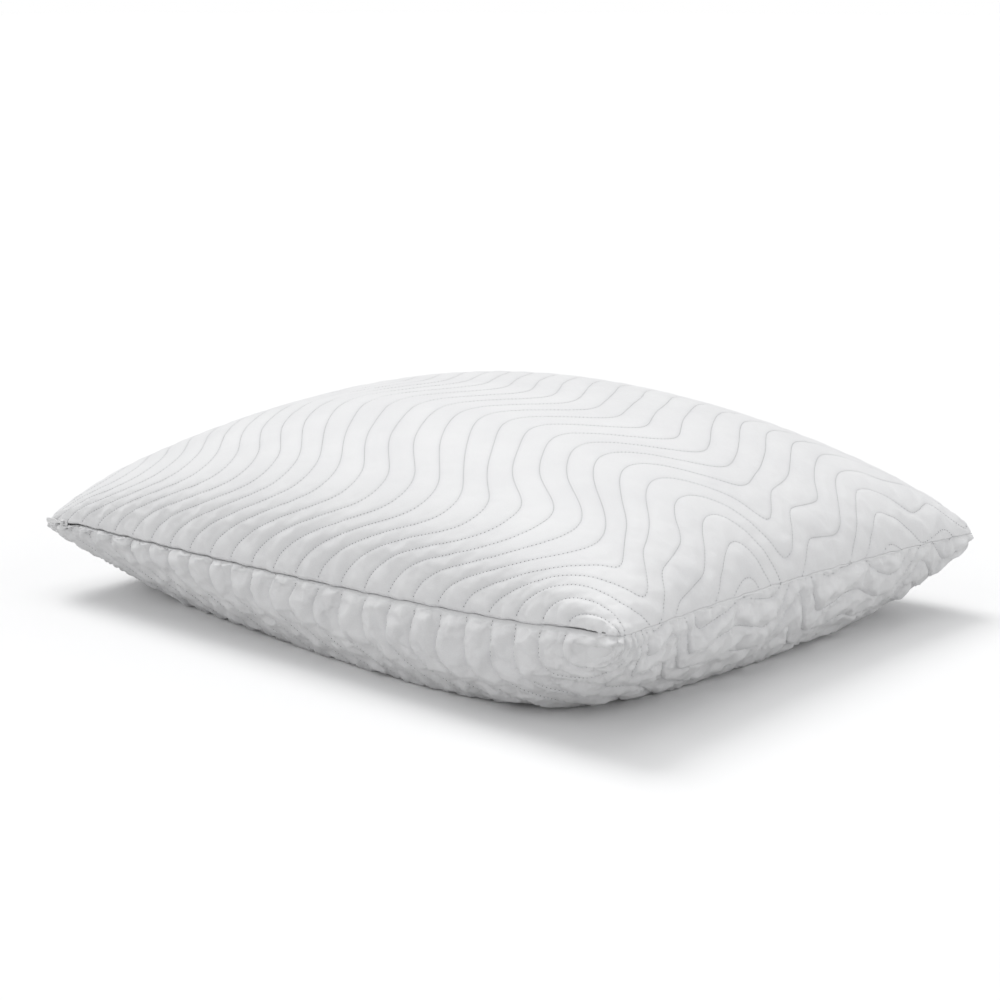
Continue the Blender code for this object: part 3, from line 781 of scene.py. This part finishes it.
def ramp(nodes, links, source, low, high):
    """Maps a 0..1 value to a range."""
    node = nodes.new("ShaderNodeMapRange")
    node.inputs["To Min"].default_value = low
    node.inputs["To Max"].default_value = high
    links.new(source, node.inputs["Value"])
    return node.outputs["Result"]


def noise(nodes, links, vector, scale, detail=2.0, roughness=0.5):
    """A noise value of 0 to 1."""
    node = nodes.new("ShaderNodeTexNoise")
    node.inputs["Scale"].default_value = scale
    node.inputs["Detail"].default_value = detail
    node.inputs["Roughness"].default_value = roughness
    links.new(vector, node.inputs["Vector"])
    return node.outputs["Fac"]


def math_node(nodes, links, kind, a, b=0):
    """One step of arithmetic. a and b are numbers or the outputs of other nodes."""
    node = nodes.new("ShaderNodeMath")
    node.operation = kind
    for slot, item in enumerate((a, b)):
        if isinstance(item, (int, float)):
            node.inputs[slot].default_value = item
        else:
            links.new(item, node.inputs[slot])
    return node.outputs["Value"]


def attribute(nodes, name, output):
    """What paint() stored on the mesh under a name."""
    node = nodes.new("ShaderNodeAttribute")
    node.attribute_name = name
    return node.outputs[output]


def tinted(nodes, links, source, dark, colour, low, high):
    """A colour that runs from dark to colour as source goes from low to high."""
    tint = nodes.new("ShaderNodeValToRGB")
    for element, place, shade in zip(tint.color_ramp.elements, (low, high), (dark, colour)):
        element.position = place
        element.color = (*shade, 1)
    links.new(source, tint.inputs["Fac"])
    return tint.outputs["Color"]


def add_bump(nodes, links, shader, relief, bump_mm, strength):
    bump = nodes.new("ShaderNodeBump")
    bump.inputs["Distance"].default_value = bump_mm / 1000
    bump.inputs["Strength"].default_value = strength
    links.new(relief, bump.inputs["Height"])
    links.new(bump.outputs["Normal"], shader.inputs["Normal"])


def cloth_material(name, colour, dark, thread_mm, bump_mm, roughness, sheen=0.25, crease=True):
    """A plain weave in the cloth's own flat millimetres, with slubs, and painted shade darkening its colour
    beside its creases.
    """
    made, nodes, links, shader = new_material(name)
    vector = attribute(nodes, "cloth", "Vector")
    split = nodes.new("ShaderNodeSeparateXYZ")
    links.new(vector, split.inputs["Vector"])
    turns = math.pi / thread_mm
    warp = math_node(nodes, links, "SINE", math_node(nodes, links, "MULTIPLY", split.outputs["X"], turns))
    weft = math_node(nodes, links, "SINE", math_node(nodes, links, "MULTIPLY", split.outputs["Y"], turns))
    weave = math_node(nodes, links, "MULTIPLY", warp, weft)
    slub = noise(nodes, links, vector, 0.9)
    cloud = noise(nodes, links, vector, 0.018)
    mixed = math_node(nodes, links, "ADD", math_node(nodes, links, "MULTIPLY", slub, 0.45),
                      math_node(nodes, links, "MULTIPLY", cloud, 0.55))
    # painted shade: the colour is darkened close to the stitch lines, where the creases fall into shadow
    if crease:
        crease_painted_shade = math_node(nodes, links, "MULTIPLY", attribute(nodes, "crease", "Fac"), 0.3)
        mixed = math_node(nodes, links, "SUBTRACT", mixed, crease_painted_shade)
    links.new(tinted(nodes, links, mixed, dark, colour, 0.1, 0.6), shader.inputs["Base Color"])
    links.new(ramp(nodes, links, slub, roughness - 0.05, roughness + 0.08), shader.inputs["Roughness"])
    relief = math_node(nodes, links, "ADD", math_node(nodes, links, "MULTIPLY", weave, 0.5),
                       math_node(nodes, links, "MULTIPLY", slub, 0.6))
    add_bump(nodes, links, shader, relief, bump_mm, 0.6)
    shader.inputs["Sheen Weight"].default_value = sheen
    shader.inputs["Sheen Roughness"].default_value = 0.5
    shader.inputs["Specular IOR Level"].default_value = 0.25
    return made


def solid_material(name, colour, dark, scale, roughness, bump_mm, specular=0.5, bands=0.0, holes=False):
    """Grain in metres for the small and hidden parts. bands adds ridges at that many per metre along X."""
    made, nodes, links, shader = new_material(name)
    vector = nodes.new("ShaderNodeTexCoord").outputs["Object"]
    grain = noise(nodes, links, vector, scale, 3.0, 0.55)
    shown = tinted(nodes, links, grain, dark, colour, 0.3, 0.7)
    # the needle-hole discs are darkened: painted shade
    if holes:
        shaded = nodes.new("ShaderNodeVectorMath")
        shaded.operation = "SCALE"
        links.new(shown, shaded.inputs[0])
        links.new(ramp(nodes, links, attribute(nodes, "hole", "Fac"), 1.0, HOLE_SHADE), shaded.inputs["Scale"])
        shown = shaded.outputs["Vector"]
    links.new(shown, shader.inputs["Base Color"])
    links.new(ramp(nodes, links, grain, roughness - 0.08, roughness + 0.1), shader.inputs["Roughness"])
    relief = grain
    if bands:
        split = nodes.new("ShaderNodeSeparateXYZ")
        links.new(vector, split.inputs["Vector"])
        wave = math_node(nodes, links, "SINE",
                         math_node(nodes, links, "MULTIPLY", split.outputs["X"], bands * 2 * math.pi))
        relief = math_node(nodes, links, "ADD", math_node(nodes, links, "MULTIPLY", grain, 0.4), wave)
    add_bump(nodes, links, shader, relief, bump_mm, 0.7)
    shader.inputs["Specular IOR Level"].default_value = specular
    return made


FACE = cloth_material("face_fabric", (0.86, 0.86, 0.862), (0.76, 0.76, 0.77), 0.40, 0.05, 0.72)
THREAD = solid_material("thread", (0.88, 0.88, 0.88), (0.74, 0.74, 0.75), 900, 0.6, 0.05)
# the quilting thread, with its needle-hole discs darkened as painted shade
STITCHES = solid_material("quilting_thread", (0.88, 0.88, 0.88), (0.80, 0.80, 0.80), 900, 0.6, 0.05, holes=True)
TAPE = solid_material("zip_tape", (0.80, 0.80, 0.80), (0.66, 0.66, 0.67), 1200, 0.8, 0.08, bands=1400)
NYLON = solid_material("zip_coil", (0.86, 0.86, 0.85), (0.76, 0.76, 0.75), 500, 0.35, 0.25, bands=780)
METAL = solid_material("zip_metal", (0.88, 0.88, 0.88), (0.80, 0.80, 0.80), 700, 0.28, 0.02, specular=0.6)
LINING = solid_material("case_fabric", (0.84, 0.84, 0.84), (0.74, 0.74, 0.74), 420, 0.85, 0.1, bands=1200)
FILLING = solid_material("filling", (0.91, 0.91, 0.90), (0.80, 0.80, 0.79), 120, 0.95, 0.8)
SATIN = cloth_material("label", (0.90, 0.90, 0.90), (0.82, 0.82, 0.82), 0.25, 0.03, 0.42, 0.1, crease=False)


def dress(piece, look, body):
    """Gives a piece its material and its body."""
    piece.data.materials.clear()
    piece.data.materials.append(look)
    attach(piece, body)


# ---------------------------------------------------------------- build

panels = {"top": panel(1), "bottom": panel(-1)}
for word, data in panels.items():
    skin = panel_object(f"{word}_quilted_panel", data)
    dress(skin, FACE, "pillow")
    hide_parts(f"{word}_face_fabric", f"{word}_wadding", f"{word}_backing")
    thread = quilting_thread(f"{word}_quilting_thread", data)
    dress(thread, STITCHES, "pillow")

for word, side in (("top", 1), ("bottom", -1)):
    outside = dome(side, CASE_INSET, CASE_DROP, CASE_WRINKLE, seed=3)
    inside = dome(side, CASE_INSET + CASE_THICKNESS, CASE_DROP + CASE_THICKNESS, CASE_WRINKLE, seed=3)
    case = closed_layers(f"inner_case_{word}_cloth", outside, inside)
    dress(case, LINING, "pillow")
    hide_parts(f"inner_case_{word}")
stuffing = closed_layers("fibre_filling", dome(1, FILLING_INSET, FILLING_DROP, FILLING_LUMPS, seed=8),
                         dome(-1, FILLING_INSET, FILLING_DROP, FILLING_LUMPS, seed=11))
dress(stuffing, FILLING, "pillow")
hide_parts("filling")
overlock("cover_overlock_rib", "cover_overlock", COVER_THICKNESS + 0.0015, ALLOWANCE_WIDTH, False)
overlock("inner_case_overlock_rib", "inner_case_overlock", CASE_FIN_INSET, CASE_ALLOWANCE_WIDTH, True)
zip_tape("zip_tape_upper_woven", "zip_tape_upper")
zip_tape("zip_tape_lower_woven", "zip_tape_lower")
care_label()
bar_tacks()

# the CAD's own nodes that show
for node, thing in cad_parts.items():
    for word, look in (("coil", NYLON), ("slider", METAL), ("puller", METAL), ("_stop", METAL)):
        if word in node:
            thing.data.materials.clear()
            thing.data.materials.append(look)

# ---------------------------------------------------------------- studio

FLOOR_REACH = 90
FLOOR_DEPTH = 0.0004       # how far the floor lies under the pillow's rest face
FLOOR_BOUNCE = 0.62        # how much light the floor throws back, less than its white as it is seen
FLOOR_WHITE = 0.97
AMBIENT = 0.50
AZIMUTH, ELEVATION = math.radians(41.24), math.radians(13.66)
CAMERA_DISTANCE = 1.8
CAMERA_LENS, CAMERA_SENSOR = 73.9, 36
CAMERA_SHIFT = (-0.0036, 0.0029)
TARGET = Vector((0, 0, 0.09))

scene = bpy.context.scene
scene.view_settings.view_transform = "Standard"

floor_mesh = bpy.data.meshes.new("floor")
floor_mesh.from_pydata([(x * FLOOR_REACH, y * FLOOR_REACH, -FLOOR_DEPTH)
                        for x, y in ((-1, -1), (1, -1), (1, 1), (-1, 1))], [], [(0, 1, 2, 3)])
floor = bpy.data.objects.new("floor", floor_mesh)
scene.collection.objects.link(floor)
floor_look, floor_nodes, floor_links, floor_shader = new_material("studio_floor")
floor_ray = floor_nodes.new("ShaderNodeLightPath")
floor_links.new(ramp(floor_nodes, floor_links, floor_ray.outputs["Is Camera Ray"], FLOOR_BOUNCE, FLOOR_WHITE),
                floor_shader.inputs["Base Color"])
floor_shader.inputs["Roughness"].default_value = 0.9
floor_shader.inputs["Specular IOR Level"].default_value = 0.0
floor_mesh.materials.append(floor_look)

world = bpy.data.worlds.new("studio")
world.use_nodes = True
world_nodes, world_links = world.node_tree.nodes, world.node_tree.links
ambient = world_nodes["Background"]
ambient.inputs["Color"].default_value = (0.985, 0.99, 1.0, 1)
ambient.inputs["Strength"].default_value = AMBIENT
backdrop = world_nodes.new("ShaderNodeBackground")
backdrop.inputs["Color"].default_value = (1, 1, 1, 1)
ray = world_nodes.new("ShaderNodeLightPath")
either = world_nodes.new("ShaderNodeMixShader")
world_links.new(ray.outputs["Is Camera Ray"], either.inputs["Fac"])
world_links.new(ambient.outputs["Background"], either.inputs[1])
world_links.new(backdrop.outputs["Background"], either.inputs[2])
world_links.new(either.outputs["Shader"], world_nodes["World Output"].inputs["Surface"])
scene.world = world


def sun(name, direction, power, spread):
    """A soft distant light that comes from a direction. spread is its width in degrees."""
    light = bpy.data.lights.new(name, "SUN")
    light.energy = power
    light.angle = math.radians(spread)
    made = bpy.data.objects.new(name, light)
    made.rotation_euler = Vector(direction).to_track_quat("Z", "Y").to_euler()
    scene.collection.objects.link(made)


# towards the camera, and to its right
towards = Vector((math.sin(AZIMUTH) * math.cos(ELEVATION), -math.cos(AZIMUTH) * math.cos(ELEVATION),
                  math.sin(ELEVATION)))
right = Vector((math.cos(AZIMUTH), math.sin(AZIMUTH), 0))
above = Vector((0, 0, 1))
sun("key", -right * 0.3 + above - towards * 0.35, 1.0, 30)
sun("overhead", above, 0.52, 50)
sun("side", right + above * 0.10 + towards * 0.35, 0.72, 60)
sun("front", towards * 0.6 - right + above * 0.2, 0.56, 70)

camera_data = bpy.data.cameras.new("camera")
camera_data.lens = CAMERA_LENS
camera_data.sensor_width = CAMERA_SENSOR
camera_data.shift_x, camera_data.shift_y = CAMERA_SHIFT
camera = bpy.data.objects.new("camera", camera_data)
camera.location = TARGET + towards * CAMERA_DISTANCE
camera.rotation_euler = (-towards).to_track_quat("-Z", "Y").to_euler()
scene.collection.objects.link(camera)
scene.camera = camera
